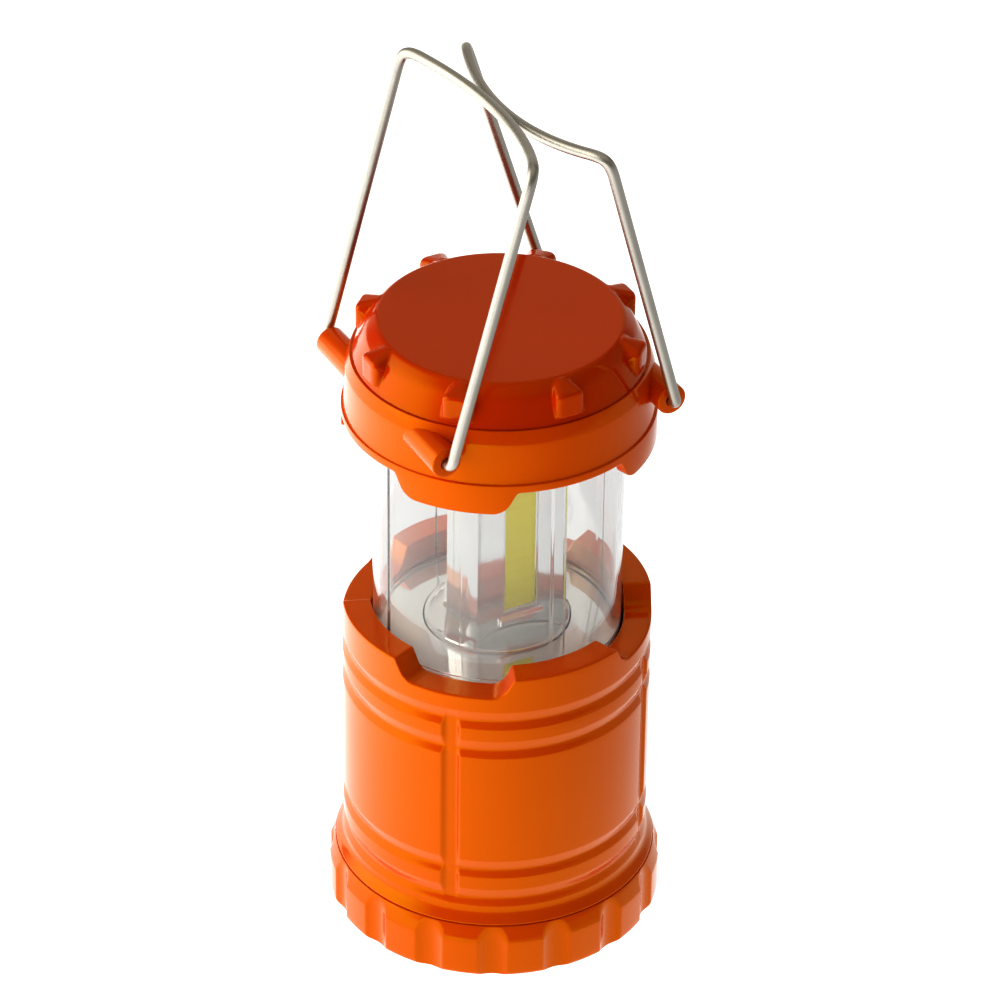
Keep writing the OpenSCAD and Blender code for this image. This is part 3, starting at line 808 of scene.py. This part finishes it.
def make_bail(name, side, body, node, short=0.0, lean_more=0.0, skew=0.0):
    """Wire bail: two pins, two legs and a bowed crossbar, bent from one wire and a little uneven."""
    leg = BAIL_LEG - short
    bar_r = BAIL_HALF / math.sin(math.radians(BAIL_TURN))
    bow = [math.radians(a) for a in np.linspace(-BAIL_TURN, BAIL_TURN, 61)]
    corner_y = bar_r * math.cos(math.radians(BAIL_TURN))
    crossbar = [(bar_r * math.sin(a), bar_r * math.cos(a) - corner_y, leg) for a in bow]
    flat_path = [(-PIN_END, 0, 0), (-BAIL_HALF, 0, 0)] + crossbar + [(BAIL_HALF, 0, 0), (PIN_END, 0, 0)]
    path = bent(flat_path, 0.35, lambda p: 5.0 if p[2] > leg / 2 else 2.4)
    path[:, 1] += skew * path[:, 0] / BAIL_HALF * path[:, 2] / leg
    lean = Matrix.Rotation(math.radians(-BAIL_LEAN - lean_more), 3, "X")
    placed = [lean @ Vector(p) + Vector((0, -LUG_Y, LUG_Z)) for p in path]
    placed = np.array([(p.x, p.y * side, p.z) for p in placed])
    return dress(swept(name, placed, WIRE_R, 24, 50), body, "wire_steel", node)


# ---- Build ----

make_base_cap()
make_housing()
make_head_ring()
make_top_cap()
make_lens()
make_reflector_disc()
make_column()
for number, face in enumerate(FACES, 1):
    make_strip(number, face)
make_bail("bail_wire_front", 1, "front_bail", "bail_front")
make_bail("bail_wire_back", -1, "back_bail", "bail_back", BACK_SHORT, BACK_LEAN, -BACK_SKEW)

for part in frame["record"]["subparts"]:
    node = frame["nodes"][part["node"]]
    if not node.hide_render:
        node.data.materials.clear()
        node.data.materials.append(MATERIALS[part["material_slot"]])

# ---- Studio ----

VIEW_AZIMUTH = 61.6
VIEW_ELEVATION = 33.65
VIEW_ROLL = 0.67
VIEW_DISTANCE = 1.0506
AIM_Z = 0.0901
VIEW_LENS = 197.7
VIEW_SHIFT = 0.0018


def heading(azimuth, elevation):
    """Unit vector from the lantern towards an azimuth, from -Y towards +X, and an elevation."""
    a, e = math.radians(azimuth), math.radians(elevation)
    return Vector((math.sin(a) * math.cos(e), -math.cos(a) * math.cos(e), math.sin(e)))


def make_camera():
    """Long lens, looking down on the lantern as in the reference view."""
    data = bpy.data.cameras.new("camera")
    data.lens = VIEW_LENS
    data.sensor_width = 36
    data.shift_x = VIEW_SHIFT
    data.clip_start, data.clip_end = 0.01, 100
    camera = bpy.data.objects.new("camera", data)
    bpy.context.scene.collection.objects.link(camera)
    back = heading(VIEW_AZIMUTH, VIEW_ELEVATION)
    camera.location = Vector((0, 0, AIM_Z)) + back * VIEW_DISTANCE
    facing = (-back).to_track_quat("-Z", "Y").to_matrix()
    roll = Matrix.Rotation(math.radians(VIEW_ROLL), 3, "Z")
    camera.rotation_euler = (facing @ roll).to_euler()
    bpy.context.scene.camera = camera


TABLE_LEFT = 1.65
TABLE_RIGHT = 0.45
SEEN_LEFT = 0.46
SEEN_RIGHT = 0.56
TABLE_REACH = 0.16


def make_floor():
    """Pale light table that the lantern stands on."""
    mesh = bpy.data.meshes.new("floor")
    reach = 4.0
    edge = [(-reach, -reach, 0), (reach, -reach, 0), (reach, reach, 0), (-reach, reach, 0)]
    mesh.from_pydata(edge, [], [(0, 1, 2, 3)])
    floor = bpy.data.objects.new("floor", mesh)
    bpy.context.scene.collection.objects.link(floor)
    floor.location.z = -0.0002
    material, tree, shader = new_material("light_table")
    shader.inputs["Base Color"].default_value = (0.10, 0.10, 0.10, 1)
    shader.inputs["Roughness"].default_value = 0.9
    shader.inputs["Specular IOR Level"].default_value = 0.0
    shader.inputs["Emission Color"].default_value = (1, 1, 1, 1)
    place = tree.nodes.new("ShaderNodeTexCoord")
    side = tree.nodes.new("ShaderNodeVectorMath")
    side.operation = "DOT_PRODUCT"
    side.inputs[1].default_value = heading(VIEW_AZIMUTH + 90, 0)
    tree.links.new(place.outputs["Object"], side.inputs[0])
    fall = ranged(tree, side.outputs["Value"], TABLE_LEFT, TABLE_RIGHT, -TABLE_REACH, TABLE_REACH)
    seen = ranged(tree, side.outputs["Value"], SEEN_LEFT, SEEN_RIGHT, -TABLE_REACH, TABLE_REACH)
    path = tree.nodes.new("ShaderNodeLightPath")
    glow = tree.nodes.new("ShaderNodeMix")
    tree.links.new(path.outputs["Is Transmission Ray"], glow.inputs[0])
    tree.links.new(fall, glow.inputs[2])
    tree.links.new(seen, glow.inputs[3])
    tree.links.new(glow.outputs[0], shader.inputs["Emission Strength"])
    plain = tree.nodes.new("ShaderNodeEmission")
    mix = tree.nodes.new("ShaderNodeMixShader")
    tree.links.new(path.outputs["Is Camera Ray"], mix.inputs["Fac"])
    tree.links.new(shader.outputs["BSDF"], mix.inputs[1])
    tree.links.new(plain.outputs["Emission"], mix.inputs[2])
    tree.links.new(mix.outputs["Shader"], tree.nodes["Material Output"].inputs["Surface"])
    mesh.materials.append(material)


AIR = 0.19
GLOWS = [
    (-84, 14, 8, 44, 2.2),
    (0, 90, 25, 55, 0.24),
    (180, 2, 33, 43, 0.28),
    (100, 0, 10, 40, 0.15),
]


def add_glow(tree, place, sum_so_far, towards, spread, fade, strength):
    """Adds a soft patch of light to the studio air: full within spread degrees, gone at fade."""
    facing = tree.nodes.new("ShaderNodeVectorMath")
    facing.operation = "DOT_PRODUCT"
    facing.inputs[1].default_value = towards
    patch = tree.nodes.new("ShaderNodeMapRange")
    patch.interpolation_type = "SMOOTHSTEP"
    patch.inputs["From Min"].default_value = math.cos(math.radians(fade))
    patch.inputs["From Max"].default_value = math.cos(math.radians(spread))
    patch.inputs["To Min"].default_value = 0.0
    patch.inputs["To Max"].default_value = strength
    total = tree.nodes.new("ShaderNodeMath")
    total.operation = "ADD"
    tree.links.new(place.outputs["Generated"], facing.inputs[0])
    tree.links.new(facing.outputs["Value"], patch.inputs["Value"])
    tree.links.new(patch.outputs["Result"], total.inputs[0])
    if sum_so_far is None:
        total.inputs[1].default_value = AIR
    else:
        tree.links.new(sum_so_far, total.inputs[1])
    return total.outputs["Value"]


def make_world():
    """Dark studio air with soft patches of light, and plain white behind the lantern."""
    world = bpy.data.worlds.new("studio")
    world.use_nodes = True
    bpy.context.scene.world = world
    tree = world.node_tree
    sky = tree.nodes["Background"]
    sky.inputs["Color"].default_value = (1.0, 0.95, 0.86, 1)
    place = tree.nodes.new("ShaderNodeTexCoord")
    light = None
    for azimuth, elevation, spread, fade, strength in GLOWS:
        towards = heading(VIEW_AZIMUTH + azimuth, elevation)
        light = add_glow(tree, place, light, towards, spread, fade, strength)
    tree.links.new(light, sky.inputs["Strength"])
    plain = tree.nodes.new("ShaderNodeBackground")
    plain.inputs["Color"].default_value = (1, 1, 1, 1)
    path = tree.nodes.new("ShaderNodeLightPath")
    mix = tree.nodes.new("ShaderNodeMixShader")
    tree.links.new(path.outputs["Is Camera Ray"], mix.inputs["Fac"])
    tree.links.new(sky.outputs["Background"], mix.inputs[1])
    tree.links.new(plain.outputs["Background"], mix.inputs[2])
    tree.links.new(mix.outputs["Shader"], tree.nodes["World Output"].inputs["Surface"])


make_camera()
make_floor()
make_world()
bpy.context.scene.view_settings.view_transform = "Standard"
bpy.context.scene.view_settings.look = "High Contrast"
